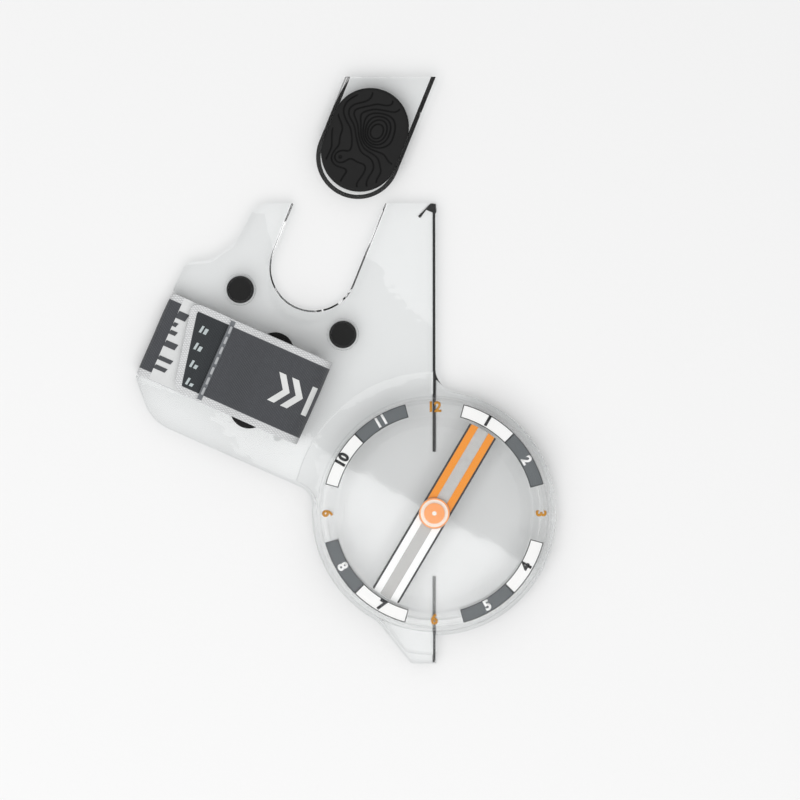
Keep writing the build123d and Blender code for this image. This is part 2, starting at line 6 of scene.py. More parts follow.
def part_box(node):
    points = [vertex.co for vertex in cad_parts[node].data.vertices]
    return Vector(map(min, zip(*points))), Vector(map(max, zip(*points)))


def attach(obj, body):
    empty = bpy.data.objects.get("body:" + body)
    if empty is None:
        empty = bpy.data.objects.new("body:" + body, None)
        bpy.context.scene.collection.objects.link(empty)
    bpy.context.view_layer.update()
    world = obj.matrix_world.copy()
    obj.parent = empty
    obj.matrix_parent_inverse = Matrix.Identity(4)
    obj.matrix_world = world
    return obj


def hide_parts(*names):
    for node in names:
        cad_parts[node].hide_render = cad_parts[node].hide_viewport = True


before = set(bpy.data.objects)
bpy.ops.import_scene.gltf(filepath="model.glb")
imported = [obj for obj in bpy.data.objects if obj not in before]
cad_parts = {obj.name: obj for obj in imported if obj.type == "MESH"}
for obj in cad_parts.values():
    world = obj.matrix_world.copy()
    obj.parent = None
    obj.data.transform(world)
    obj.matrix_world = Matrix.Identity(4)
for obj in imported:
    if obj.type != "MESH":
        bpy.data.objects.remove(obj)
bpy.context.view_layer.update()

scene = bpy.context.scene
mm = 0.001


# ---- camera ----
# A long lens looks straight down on the compass, with the travel direction up. From that far away
# the tall capsule and the thin plate are drawn at nearly the same scale.
lens_mm = 200
sensor_mm = 36
view_centre = Vector((-7.0, 23.1, 4.0)) * mm
view_width = 163.3 * mm
camera_data = bpy.data.cameras.new("camera")
camera_data.lens = lens_mm
camera_data.sensor_width = sensor_mm
camera = bpy.data.objects.new("camera", camera_data)
camera.location = view_centre + Vector((0, 0, view_width * lens_mm / sensor_mm))
scene.collection.objects.link(camera)
scene.camera = camera


# ---- floor ----
# A sheet of matt white studio paper, laid flat under the compass.
# Its fine fibres give the eye a soft surface with no shine.
def linear(hex_colour):
    """Turns an sRGB hex colour such as "F0921C" into linear RGBA."""
    channels = [int(hex_colour[i:i + 2], 16) / 255 for i in (0, 2, 4)]
    return [c / 12.92 if c <= 0.04045 else ((c + 0.055) / 1.055) ** 2.4 for c in channels] + [1.0]


def add(material, kind, inputs=None, **settings):
    """Adds one shader node; inputs gives sockets their values or the sockets they are linked to."""
    added = material.node_tree.nodes.new(kind)
    for name, value in settings.items():
        setattr(added, name, value)
    for key, value in (inputs or {}).items():
        if isinstance(value, bpy.types.NodeSocket):
            material.node_tree.links.new(value, added.inputs[key])
        else:
            added.inputs[key].default_value = value
    return added


def new_material(name):
    """An empty material, and the place on the piece that its patterns follow."""
    material = bpy.data.materials.new(name)
    material.use_nodes = True
    material.node_tree.nodes.clear()
    return material, add(material, "ShaderNodeTexCoord").outputs["Object"]


def end_with(material, shader):
    add(material, "ShaderNodeOutputMaterial", {"Surface": shader.outputs[0]})
    return material


fibre_mm = 1.1
sheet_size = 6.0
sheet_drop = 0.0002
paper, place = new_material("matt_white_paper")
fibres = add(paper, "ShaderNodeTexNoise", {"Vector": place, "Scale": 1 / (fibre_mm * mm), "Detail": 3.0})
fibre_bump = add(paper, "ShaderNodeBump", {"Strength": 0.03, "Height": fibres.outputs[0]})
end_with(paper, add(paper, "ShaderNodeBsdfPrincipled", {
    "Base Color": linear("F1F1F1"), "Roughness": 0.8, "Normal": fibre_bump.outputs[0]}))
bpy.ops.object.select_all(action="DESELECT")
bpy.ops.mesh.primitive_plane_add(size=sheet_size, location=(0, 0, -sheet_drop))
paper_sheet = bpy.context.object
paper_sheet.name = "floor"
paper_sheet.data.materials.append(paper)


# ---- studio light ----
# One broad softbox behind the lower left, whose edge mirrors across the capsule, and an even white
# sky that darkens to the horizon, as a studio's walls do, so that clear edges are drawn dark.
softbox_height = 1.5
softbox_size = 2.2
softbox_energy = 26.5
sky_strength = 0.64
edge_tilt = radians(28.4)
lid_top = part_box("capsule_lid")[1].z
mirror_factor = (softbox_height - lid_top) / (camera.location.z - lid_top)
mirrored_axis = -Vector((camera.location.x, camera.location.y, 0)) * mirror_factor
away = Vector((-sin(edge_tilt), -cos(edge_tilt), 0))
softbox_data = bpy.data.lights.new("softbox", "AREA")
softbox_data.shape = "SQUARE"
softbox_data.size = softbox_size
softbox_data.energy = softbox_energy
softbox = bpy.data.objects.new("softbox", softbox_data)
softbox.location = mirrored_axis + away * softbox_size / 2 + Vector((0, 0, softbox_height))
softbox.rotation_euler = (0, 0, -edge_tilt)
scene.collection.objects.link(softbox)

studio = bpy.data.worlds.new("studio")
scene.world = studio
studio.use_nodes = True
sky = studio.node_tree.nodes["Background"]
sky_height = add(studio, "ShaderNodeSeparateXYZ", {
    0: add(studio, "ShaderNodeTexCoord").outputs["Generated"]})
sky_level = add(studio, "ShaderNodeMapRange", {
    "Value": sky_height.outputs["Z"], "From Min": 0.0, "From Max": 0.45, "To Min": 0.05, "To Max": 1.0})
studio.node_tree.links.new(sky_level.outputs[0], sky.inputs["Color"])
sky.inputs["Strength"].default_value = sky_strength
scene.view_settings.view_transform = "Standard"
scene.cycles.transparent_max_bounces = 32
scene.cycles.caustics_reflective = False


# ---- clear plate ----
# One acrylic injection moulding: arms, tray, collar and stud bosses in a single piece.
# It lies flat on the map, and all the other pieces are fixed on it or in it.
def clear_acrylic(name, smear_mm, smear_strength):
    """Polished acrylic: it bends what is behind it, mirrors the studio at its edges and shows faint
    finger smears. Light passes through it to what is underneath, less so through its side walls."""
    material, place = new_material(name)
    smears = add(material, "ShaderNodeTexNoise", {
        "Vector": place, "Scale": 1 / (smear_mm * mm), "Detail": 3.0})
    bump = add(material, "ShaderNodeBump", {
        "Strength": smear_strength, "Distance": 0.0004, "Height": smears.outputs[0]})
    body = add(material, "ShaderNodeBsdfPrincipled", {
        "Base Color": linear("FDFDFD"), "Roughness": 0.01, "IOR": 1.49,
        "Transmission Weight": 1.0, "Normal": bump.outputs[0]})
    facing = add(material, "ShaderNodeSeparateXYZ", {
        0: add(material, "ShaderNodeTexCoord").outputs["Normal"]})
    level = add(material, "ShaderNodeMath", {0: facing.outputs["Z"]}, operation="ABSOLUTE")
    walls = add(material, "ShaderNodeMix", {
        0: level.outputs[0], 6: linear("DCDDDD"), 7: linear("F8F9F9")}, data_type="RGBA")
    lit_through = add(material, "ShaderNodeBsdfTransparent", {"Color": walls.outputs[2]})
    path = add(material, "ShaderNodeLightPath")
    bounced = add(material, "ShaderNodeMixShader", {
        0: path.outputs["Is Diffuse Ray"], 1: body.outputs[0], 2: lit_through.outputs[0]})
    return end_with(material, add(material, "ShaderNodeMixShader", {
        0: path.outputs["Is Shadow Ray"], 1: bounced.outputs[0], 2: lit_through.outputs[0]}))


def only(piece):
    """Makes a piece the one selected and active object."""
    bpy.ops.object.select_all(action="DESELECT")
    piece.select_set(True)
    bpy.context.view_layer.objects.active = piece


def fit(piece, body, slot, material, *nodes):
    """Gives a finished piece its material and its body, and hides the CAD nodes it stands for. The slot
    argument is not used.
    """
    piece.data.materials.clear()
    piece.data.materials.append(material)
    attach(piece, body)
    if nodes:
        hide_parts(*nodes)
    return piece


def smooth_moulding(node_name, name, body, slot, material):
    """A copy of a CAD node with its triangles joined, so that its curved walls shade and bend light
    without facets."""
    piece = bpy.data.objects.new(name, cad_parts[node_name].data.copy())
    scene.collection.objects.link(piece)
    only(piece)
    if piece.data.has_custom_normals:
        bpy.ops.mesh.customdata_custom_splitnormals_clear()
    bpy.ops.object.mode_set(mode="EDIT")
    bpy.ops.mesh.select_all(action="SELECT")
    bpy.ops.mesh.remove_doubles(threshold=0.000002)
    bpy.ops.object.mode_set(mode="OBJECT")
    bpy.ops.object.shade_smooth_by_angle(angle=radians(25))
    return fit(piece, body, slot, material, node_name)


plate_acrylic = clear_acrylic("polished_clear_acrylic", 11, 0.05)
smooth_moulding("base_plate", "plate_moulding", "plate", "clear_plate", plate_acrylic)


# ---- sighting line ----
# Paint wiped into a moulded groove in the plate's underside: black ahead of the capsule, with a barb
# at the front edge, and dark grey behind it.
def fine_finish(name, colour, roughness, grain_mm, strength, spread=0.12, gloss=0.5, metal=0.0):
    """An opaque finish: its colour wanders by `spread`, and a grain of grain_mm breaks up its shine."""
    material, place = new_material(name)
    grain = add(material, "ShaderNodeTexNoise", {
        "Vector": place, "Scale": 1 / (grain_mm * mm), "Detail": 3.0})
    patches = add(material, "ShaderNodeTexNoise", {
        "Vector": place, "Scale": 1 / (14 * grain_mm * mm), "Detail": 2.0})
    low = [c * (1 - spread) for c in linear(colour)[:3]] + [1.0]
    high = [min(1.0, c * (1 + spread)) for c in linear(colour)[:3]] + [1.0]
    tone = add(material, "ShaderNodeMix", {0: patches.outputs[0], 6: low, 7: high}, data_type="RGBA")
    bump = add(material, "ShaderNodeBump", {
        "Strength": strength, "Distance": 0.0001, "Height": grain.outputs[0]})
    return end_with(material, add(material, "ShaderNodeBsdfPrincipled", {
        "Base Color": tone.outputs[2], "Roughness": roughness, "Specular IOR Level": gloss,
        "Metallic": metal, "Normal": bump.outputs[0]}))


def finish_node(node_name, material):
    """Gives a CAD node its finish, on the slots that it already has."""
    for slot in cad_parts[node_name].material_slots:
        slot.material = material


# groove enamel: dense and slightly uneven where it was wiped
finish_node("travel_line", fine_finish("black_groove_enamel", "0E0E0E", 0.5, 0.15, 0.1))
finish_node("heel_line", fine_finish("grey_groove_enamel", "464646", 0.5, 0.15, 0.1))


# ---- rubber studs and thumb grip ----
# Two headed plugs pushed up through the plate, which grip the map, and a long strip bonded in the plate
# under the thumb. All are moulded black rubber.
# moulded rubber: matt, with a fine grain that scatters the light
rubber = fine_finish("moulded_black_rubber", "161616", 0.7, 0.12, 0.25, 0.2, 0.25)
smooth_moulding("rubber_studs", "rubber_plugs", "plate", "black_rubber", rubber)
smooth_moulding("thumb_grip", "grip_strip", "plate", "black_rubber", rubber)


# ---- strap, base band ----
# Woven elastic 18 mm wide with a dark centre and pale selvedges, drawn tight. This length lies in a
# channel under the plate, folds round its left edge, and comes back over the top to the seam.
strap_turn = radians(23.8)
along = Vector((cos(strap_turn), -sin(strap_turn), 0))
across = Vector((sin(strap_turn), cos(strap_turn), 0))
grip_low, grip_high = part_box("thumb_grip")
thumb_centre = Vector(((grip_low.x + grip_high.x) / 2, (grip_low.y + grip_high.y) / 2, 0))
half_strap = 9.1
selvedge = 1.45
band_mm = 0.8


def strap_line(points, steps):
    """A smooth line near its control points, as evenly spaced (s, z) points, and its length."""
    padded = [points[0]] * 2 + list(points) + [points[-1]] * 2
    fine = []
    for i in range(len(padded) - 3):
        for k in range(16):
            t = k / 16
            weights = ((1 - t) ** 3 / 6, (3 * t ** 3 - 6 * t ** 2 + 4) / 6,
                       (-3 * t ** 3 + 3 * t ** 2 + 3 * t + 1) / 6, t ** 3 / 6)
            fine.append(Vector([sum(w * padded[i + j][c] for j, w in enumerate(weights)) for c in (0, 1)]))
    fine.append(Vector(points[-1]))
    lengths = [0.0]
    for a, b in zip(fine, fine[1:]):
        lengths.append(lengths[-1] + (b - a).length)
    line = []
    k = 0
    for step in range(steps + 1):
        target = lengths[-1] * step / steps
        while k < len(lengths) - 2 and lengths[k + 1] < target:
            k += 1
        part = (target - lengths[k]) / max(lengths[k + 1] - lengths[k], 1e-9)
        line.append(fine[k].lerp(fine[k + 1], part))
    return line, lengths[-1]


def on_band(line, length, arc, v, lift=0.0):
    """A place on a band: `arc` along it and `v` across it, on its slightly crowned, rippled face."""
    where = min(max(arc / length, 0.0), 1.0) * (len(line) - 1)
    k = min(int(where), len(line) - 2)
    step = (line[k + 1] - line[k]).normalized()
    crown = 0.10 * (1 - (v / half_strap) ** 2)
    ripple = 0.06 * noise.noise(Vector((arc * 0.35, v * 0.2, 3.0)))
    rise = (crown + ripple) * min(1.0, arc / 2, (length - arc) / 2) + lift
    spot = line[k].lerp(line[k + 1], where - k) + Vector((-step.y, step.x)) * rise
    return thumb_centre + (along * spot.x + across * v + Vector((0, 0, spot.y))) * mm


def lay_flat(mesh, flat):
    """Writes a piece's UV map, in millimetres along and across the band."""
    for loop in mesh.loops:
        mesh.uv_layers.active.data[loop.index].uv = flat[loop.vertex_index]


def weave_band(name, points, steps, left_end=None):
    """A band of webbing along its line. The attribute edge_mm says how far each point is from its
    border, and left_end says where a slanted end starts."""
    line, length = strap_line(points, steps)
    bpy.ops.object.select_all(action="DESELECT")
    bpy.ops.mesh.primitive_grid_add(x_subdivisions=steps, y_subdivisions=37, size=2)
    band = bpy.context.object
    band.name = name
    inset = band.data.attributes.new("edge_mm", "FLOAT", "POINT")
    flat = []
    for index, vertex in enumerate(band.data.vertices):
        v = vertex.co.y * half_strap
        start = left_end(v) if left_end else 0.0
        arc = start + (vertex.co.x + 1) / 2 * (length - start)
        border = half_strap - abs(v)
        inset.data[index].value = min(border, arc - start) if left_end else border
        flat.append((arc, v))
        vertex.co = on_band(line, length, arc, v)
    lay_flat(band.data, flat)
    only(band)
    body = band.modifiers.new("thickness", "SOLIDIFY")
    body.thickness = band_mm * mm
    body.offset = 0
    edge = band.modifiers.new("soft_edge", "BEVEL")
    edge.width = 0.22 * mm
    edge.segments = 3
    edge.limit_method = "ANGLE"
    edge.angle_limit = radians(50)
    bpy.ops.object.modifier_apply(modifier="thickness")
    bpy.ops.object.modifier_apply(modifier="soft_edge")
    bpy.ops.object.shade_smooth_by_angle(angle=radians(40))
    return band, line, length


def elastic_webbing(name, centre, border):
    """Woven polyester elastic: matt, with a twill in its dark centre and a herringbone in its pale
    selvedge. The threads are drawn 0.45 mm apart, coarser than the real ones, so that they show."""
    thread_mm = 0.45
    rib_scale = 1 / (3.18 * thread_mm)
    material, place = new_material(name)
    flat = add(material, "ShaderNodeUVMap").outputs[0]
    inset = add(material, "ShaderNodeAttribute", attribute_name="edge_mm")
    ribs = []
    for tilt in (28, -28):
        turned = add(material, "ShaderNodeMapping", {"Vector": flat, "Rotation": (0, 0, radians(tilt))})
        ribs.append(add(material, "ShaderNodeTexWave", {
            "Vector": turned.outputs[0], "Scale": rib_scale, "Distortion": 0.6, "Detail": 1.0,
            "Detail Scale": 2.0}, bands_direction="Y").outputs["Fac"])
    picks = add(material, "ShaderNodeTexWave", {
        "Vector": flat, "Scale": 1.25 * rib_scale, "Distortion": 0.4}, bands_direction="X")
    herringbone = add(material, "ShaderNodeMath", {0: ribs[0], 1: ribs[1]}, operation="MULTIPLY")
    twill = add(material, "ShaderNodeMath", {0: ribs[0], 1: picks.outputs["Fac"]}, operation="MULTIPLY")
    in_border = add(material, "ShaderNodeMapRange", {
        "Value": inset.outputs["Fac"], "From Min": selvedge + 0.06, "From Max": selvedge - 0.06})
    height = add(material, "ShaderNodeMix", {
        0: in_border.outputs[0], 2: twill.outputs[0], 3: herringbone.outputs[0]})
    dye = add(material, "ShaderNodeMix", {
        0: in_border.outputs[0], 6: linear(centre), 7: linear(border)}, data_type="RGBA")
    # painted shade and highlight: the colour is darkened in the weave's hollows and lightened on its
    # raised threads, on top of the bump
    weave_painted_shade = add(material, "ShaderNodeMapRange", {
        "Value": height.outputs[0], "From Min": 0.0, "From Max": 0.7, "To Min": 0.72, "To Max": 1.08})
    wear = add(material, "ShaderNodeTexNoise", {"Vector": flat, "Scale": 0.8, "Detail": 2.0})
    drift = add(material, "ShaderNodeMapRange", {"Value": wear.outputs[0], "To Min": 0.9, "To Max": 1.1})
    level = add(material, "ShaderNodeMath", {0: weave_painted_shade.outputs[0], 1: drift.outputs[0]},
                operation="MULTIPLY")
    toned = add(material, "ShaderNodeMix", {0: 1.0, 6: dye.outputs[2], 7: level.outputs[0]},
                data_type="RGBA", blend_type="MULTIPLY")
    bump = add(material, "ShaderNodeBump", {
        "Strength": 0.7, "Distance": 0.00012, "Height": height.outputs[0]})
    return end_with(material, add(material, "ShaderNodeBsdfPrincipled", {
        "Base Color": toned.outputs[2], "Roughness": 0.85, "Sheen Weight": 0.15,
        "Normal": bump.outputs[0]}))


strap_webbing = elastic_webbing("dark_elastic_webbing", "4C4E52", "DEDFE0")
base_band, base_line, base_length = weave_band("strap_base", [
    (8.0, 0.5), (4.0, 0.5), (-12.0, 0.5), (-21.5, 0.5), (-23.6, 0.5), (-23.68, 1.2), (-23.68, 2.5),
    (-23.5, 3.25), (-21.5, 3.26), (-14.0, 3.25), (-8.0, 3.25), (-6.1, 3.25)], 120)
fit(base_band, "plate", "webbing", strap_webbing, "strap_base_band")


# ---- strap, woven panel ----
# A pale panel woven into the base band beside its folded edge, with dark bars across it.
# The threads float on the face of the band, so the figures stand slightly proud.
def figure(line, length, left, right, low, high, lean=0.0, point=0.0):
    """One woven block, from left to right along the band and low to high across it. It leans along
    the band, or bends to a point in its middle, as half of an arrow does."""
    bpy.ops.object.select_all(action="DESELECT")
    bpy.ops.mesh.primitive_grid_add(x_subdivisions=6, y_subdivisions=12, size=2)
    block = bpy.context.object
    flat = []
    for vertex in block.data.vertices:
        v = low + (vertex.co.y + 1) / 2 * (high - low)
        arc = left + (vertex.co.x + 1) / 2 * (right - left)
        flat.append((arc + lean * vertex.co.y - point * abs(vertex.co.y), v))
    for vertex, (arc, v) in zip(block.data.vertices, flat):
        vertex.co = on_band(line, length, arc, v, figure_lift)
    lay_flat(block.data, flat)
    return block


def joined(pieces, name, thickness):
    """Joins flat pieces into one and gives it the thickness of its thread or ink."""
    only(pieces[0])
    for piece in pieces:
        piece.select_set(True)
    bpy.ops.object.join()
    whole = bpy.context.object
    whole.name = name
    only(whole)
    body = whole.modifiers.new("body", "SOLIDIFY")
    body.thickness = thickness * mm
    body.offset = 1
    bpy.ops.object.modifier_apply(modifier="body")
    return whole


def arc_at(line, length, s):
    """How far along its line a band last passes the place s."""
    for k in range(len(line) - 1, 0, -1):
        low, high = sorted((line[k - 1].x, line[k].x))
        if low <= s <= high:
            return length * (k - 0.5) / (len(line) - 1)
    return 0.0


figure_lift = band_mm / 2
raised_mm = 0.1
panel_mm = 0.06
panel_reach = 7.5
panel_half = 9.0
panel_arc = arc_at(base_line, base_length, -21.2)
panel_face = figure(base_line, base_length, panel_arc, panel_arc + panel_reach, -panel_half, panel_half)
panel = joined([panel_face], "base_panel", panel_mm)
# woven polyester thread: matt and slightly rough, in pale grey, dark grey or silver
fit(panel, "plate", "white_ink", fine_finish("pale_woven_panel", "D9DADA", 0.8, 0.35, 0.9, 0.1))

figure_lift = band_mm / 2 + panel_mm
bar_lean = 0.15
# each bar: its lower edge, its width across the band, and its reach along it
bar_sizes = [(-6.6, 0.9, 2.6), (-4.6, 0.9, 3.0), (-1.6, 1.3, 2.6), (1.1, 0.9, 1.5), (2.8, 0.9, 0.9),
             (4.6, 1.6, 2.2)]
bars = [figure(base_line, base_length, panel_arc, panel_arc + reach, low, low + tall, bar_lean)
        for low, tall, reach in bar_sizes]
fit(joined(bars, "base_bars", raised_mm), "plate", "dark_ink",
    fine_finish("dark_woven_thread", "47494C", 0.8, 0.25, 0.5, 0.1))


# ---- strap, end tab ----
# The free end of the strap, with its pale selvedge carried round a slanted, rounded end. It is
# fastened down by the hook and loop patches under it, and carries a row of small silver bars.
tab_base = 1.9
tab_round = 2.0


def tab_end(v):
    """Where the tab's free end lies: slanted across the strap, with rounded corners."""
    corner = max(0.0, abs(v) - half_strap + tab_round)
    return tab_base - tab_base * v / half_strap + tab_round - sqrt(tab_round ** 2 - corner ** 2)


end_tab, tab_line, tab_length = weave_band("strap_tab", [
    (-19.45, 4.95), (-16.0, 4.96), (-12.0, 4.95), (-8.0, 4.95), (-6.1, 4.95)], 40, tab_end)
fit(end_tab, "plate", "webbing", elastic_webbing("dark_tab_webbing", "33373A", "E2E3E4"), "strap_end_tab")

figure_lift = band_mm / 2
first_bar = -6.2
bar_pitch = 3.6
bar_half = 0.75
row_slant = 0.157
tab_bars = []
for k in range(4):
    v = first_bar + bar_pitch * k
    start = arc_at(tab_line, tab_length, -14.0 - row_slant * (v - first_bar))
    tab_bars.append(figure(tab_line, tab_length, start, start + 0.5, v - bar_half, v + bar_half, 0.1))
    tab_bars.append(figure(tab_line, tab_length, start + 0.85, start + 1.55, v - bar_half,
                           v - 0.1 + 0.2 * k, 0.08))
fit(joined(tab_bars, "tab_bars", raised_mm), "plate", "white_ink",
    fine_finish("silver_woven_thread", "B9C2C3", 0.8, 0.25, 0.5, 0.15))


# ---- strap, over-band ----
# The same webbing, arched for the thumb: sewn to the tab at the left, folded down at the right and
# tucked through the slot in the plate. A double arrow is woven in near the fold.
over_band, over_line, over_length = weave_band("strap_over", [
    (-10.65, 5.85), (-9.0, 5.85), (-6.6, 5.86), (-4.4, 6.3), (-1.2, 8.2), (1.6, 9.2), (5.0, 9.15),
    (8.6, 8.9), (10.9, 7.6), (11.55, 5.5), (11.2, 3.7), (9.6, 3.45), (8.0, 3.45), (7.6, 3.0), (7.6, 1.6),
    (7.6, 1.0)], 120)
fit(over_band, "plate", "webbing", strap_webbing, "strap_over_band")

arrow_half = 3.1
arrow_width = 1.5
arrow_point = 2.1
arrow_arc = arc_at(over_line, over_length, 6.4)
arrows = []
for shift in (-1.7, 1.1):
    left = arrow_arc + shift
    arrows.append(figure(over_line, over_length, left, left + arrow_width, -arrow_half, arrow_half,
                         0, arrow_point))
arrows.append(figure(over_line, over_length, arrow_arc + 3.5, arrow_arc + 4.7, -arrow_half, arrow_half))
fit(joined(arrows, "strap_arrows", raised_mm), "plate", "white_ink",
    fine_finish("pale_woven_thread", "DADBDA", 0.8, 0.35, 0.9, 0.16))


# ---- seam and its patches ----
# A strip of grey tape under a row of bar stitches joins the over-band to the tab. Hook and loop
# patches lie between the tab and the base band.
tape_mm = 0.05
tape_half = 8.7
tape_face = figure(over_line, over_length, 0.12, 1.1, -tape_half, tape_half)
tape = joined([tape_face], "seam_tape", tape_mm)
# woven tape and thread: matt, with uneven light and dark lengths
fit(tape, "plate", "thread", fine_finish("grey_seam_tape", "6E7175", 0.8, 0.25, 0.5, 0.3))
finish_node("seam_stitching", fine_finish("grey_polyester_thread", "A9ABAD", 0.7, 0.3, 0.6))
# hook and loop tape: a deep, dull pile
pile = fine_finish("hook_and_loop_pile", "2B2C2E", 0.95, 0.3, 1.0, 0.3)
for patch in ("hook_patch", "loop_patch"):
    finish_node(patch, pile)


# ---- thumb clip, tongue ----
# A clear acrylic tongue with a rail on each side, which slides in the slot between the plate's arms.
# Its lower edges are bevelled, and mirror the dark pad as black and white lines.
smooth_moulding("clip_tongue", "clip_moulding", "clip", "clear_plate", plate_acrylic)


# ---- thumb clip, pad ----
# Moulded black rubber, pressed into the tongue. Its face carries a map's contour lines as sunk
# grooves: a hill off centre, a small knoll, and rolling ground.
pad_low, pad_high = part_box("clip_pad")
pad_centre = (pad_low + pad_high) / 2
pad_rise = (pad_high.z - pad_low.z) / mm
pad_turn = radians(22)
pad_up = Vector((sin(pad_turn), cos(pad_turn), 0))
pad_right = Vector((cos(pad_turn), -sin(pad_turn), 0))
pad_radius = 7.9
pad_straight = 2.9
pad_round = 0.6
half_turn = pi * pad_radius
perimeter = 4 * pad_straight + 2 * half_turn
groove_depth = 0.18
groove_half_width = 0.13
contours_per_mm = 2.1
around, rings = 460, 72


def ground(x, y):
    """Height of the ground that the contour lines follow."""
    hill = 2.6 * exp(-((x - 1.6) ** 2 + (y - 1.4) ** 2) / 9)
    spur = 1.5 * exp(-((x + 1.2) ** 2 / 30 + (y - 4.6) ** 2 / 8))
    knoll = 1.0 * exp(-((x + 3.6) ** 2 + (y + 5.2) ** 2) / 2.2)
    rolling = 0.55 * noise.noise(Vector((x * 0.22, y * 0.22, 4.0))) + 0.16 * x + 0.05 * y
    return (hill + spur + knoll + rolling) * contours_per_mm


def groove_at(x, y, span=0.05):
    """How deep the groove is at a place, from 0 to 1, by its distance from the nearest contour; the same
    value darkens the groove's colour as painted shade.
    """
    level = ground(x, y)
    slope = sqrt((ground(x + span, y) - ground(x - span, y)) ** 2
                 + (ground(x, y + span) - ground(x, y - span)) ** 2) / (2 * span)
    distance = abs(level - floor(level) - 0.5) / max(slope, 0.25)
    return min(1.0, max(0.0, 1.5 - distance / groove_half_width))


def on_outline(travel):
    """The point of the pad's middle line, and the direction outward, at a place on its perimeter."""
    if travel < 2 * pad_straight:
        return travel - pad_straight, 0.0
    if travel < 2 * pad_straight + half_turn:
        return pad_straight, (travel - 2 * pad_straight) / pad_radius
    if travel < 4 * pad_straight + half_turn:
        return 3 * pad_straight + half_turn - travel, pi
    return -pad_straight, (travel - 4 * pad_straight) / pad_radius


profile = [((pad_radius - pad_round) * k / (rings - 6), pad_rise) for k in range(rings - 5)]
for k in range(1, 5):
    turn = radians(22.5 * k)
    profile.append((pad_radius - pad_round * (1 - sin(turn)), pad_rise - pad_round * (1 - cos(turn))))
profile += [(pad_radius, 0.0), (0.0, 0.0)]
bpy.ops.object.select_all(action="DESELECT")
bpy.ops.mesh.primitive_grid_add(x_subdivisions=around, y_subdivisions=rings, size=2)
pad = bpy.context.object
pad.name = "clip_relief_pad"
sunk = pad.data.attributes.new("groove", "FLOAT", "POINT")
for index, vertex in enumerate(pad.data.vertices):
    middle, facing = on_outline((vertex.co.x + 1) / 2 * perimeter)
    radius, height = profile[round((vertex.co.y + 1) / 2 * rings)]
    x = radius * cos(facing)
    y = middle + radius * sin(facing)
    on_face = height == pad_rise and radius < pad_radius - 1.5 * pad_round
    depth = groove_at(x, y) if on_face else 0.0
    sunk.data[index].value = depth
    vertex.co = pad_centre + (pad_right * x + pad_up * y) * mm
    vertex.co.z = pad_low.z + (height - groove_depth * depth) * mm
only(pad)
bpy.ops.object.mode_set(mode="EDIT")
bpy.ops.mesh.select_all(action="SELECT")
bpy.ops.mesh.remove_doubles(threshold=0.00001)
bpy.ops.mesh.normals_make_consistent(inside=False)
bpy.ops.object.mode_set(mode="OBJECT")
bpy.ops.object.shade_smooth_by_angle(angle=radians(40))

# moulded rubber again, a shade paler where thumbs have worn it, with painted shade in the grooves: they
# are darkened in the colour as well as sunk
relief_rubber = fine_finish("moulded_relief_rubber", "1E1E1E", 0.75, 0.12, 0.2, 0.12, 0.2)
worn = relief_rubber.node_tree.nodes["Mix"].outputs[2]
groove = add(relief_rubber, "ShaderNodeAttribute", attribute_name="groove")
groove_painted_shade = add(relief_rubber, "ShaderNodeMix", {
    0: groove.outputs["Fac"], 6: worn, 7: linear("0A0A0A")}, data_type="RGBA")
relief_rubber.node_tree.links.new(
    groove_painted_shade.outputs[2], relief_rubber.node_tree.nodes["Principled BSDF"].inputs["Base Color"])
fit(pad, "clip", "black_rubber", relief_rubber, "clip_pad")


# ---- capsule ----
# A clear cup and a domed lens bonded on its flange, filled with liquid through a plugged hole, and a
# clear grip ring round them. A split ring and a thin washer let it turn in the plate's tray.
def clear_wall(name, tint, mirror):
    """A clear wall filled with liquid behind: light goes straight through, and it mirrors the studio
    a little from above and more at a slant."""
    material, place = new_material(name)
    through = add(material, "ShaderNodeBsdfTransparent", {"Color": linear(tint)})
    scuffs = add(material, "ShaderNodeTexNoise", {"Vector": place, "Scale": 1 / (9 * mm), "Detail": 4.0})
    haze = add(material, "ShaderNodeMapRange", {
        "Value": scuffs.outputs[0], "To Min": 0.01, "To Max": 0.04})
    gloss = add(material, "ShaderNodeBsdfGlossy", {"Color": (1, 1, 1, 1), "Roughness": haze.outputs[0]})
    slant = add(material, "ShaderNodeLayerWeight", {"Blend": 0.5})
    steep = add(material, "ShaderNodeMath", {0: slant.outputs["Facing"], 1: 4.5}, operation="POWER")
    share = add(material, "ShaderNodeMath", {0: steep.outputs[0], 1: 0.45, 2: mirror},
                operation="MULTIPLY_ADD")
    wall = add(material, "ShaderNodeMixShader", {
        0: share.outputs[0], 1: through.outputs[0], 2: gloss.outputs[0]})
    lit_through = add(material, "ShaderNodeBsdfTransparent", {"Color": linear("FEFEFE")})
    path = add(material, "ShaderNodeLightPath")
    bounced = add(material, "ShaderNodeMixShader", {
        0: path.outputs["Is Diffuse Ray"], 1: wall.outputs[0], 2: lit_through.outputs[0]})
    return end_with(material, add(material, "ShaderNodeMixShader", {
        0: path.outputs["Is Shadow Ray"], 1: bounced.outputs[0], 2: lit_through.outputs[0]}))


# clear polycarbonate and acrylic: the lens is bright, the cup mirrors the softbox behind the needle
lens = clear_wall("clear_polycarbonate", "FEFEFE", 0.006)
cup_acrylic = clear_wall("clear_cup_acrylic", "F9F9F9", 0.034)
bezel_acrylic = clear_wall("clear_bezel_acrylic", "FBFBFB", 0.03)
smooth_moulding("capsule_cup", "cup_moulding", "capsule", "clear_capsule", cup_acrylic)
smooth_moulding("capsule_lid", "lid_lens", "capsule", "clear_capsule", lens)
smooth_moulding("bezel_ring", "bezel_moulding", "capsule", "clear_capsule", bezel_acrylic)
smooth_moulding("filler_plug", "fill_hole_plug", "capsule", "clear_capsule", cup_acrylic)
smooth_moulding("snap_ring", "snap_wire", "plate", "clear_capsule", lens)
smooth_moulding("glide_washer", "glide_film", "plate", "washer_film", lens)


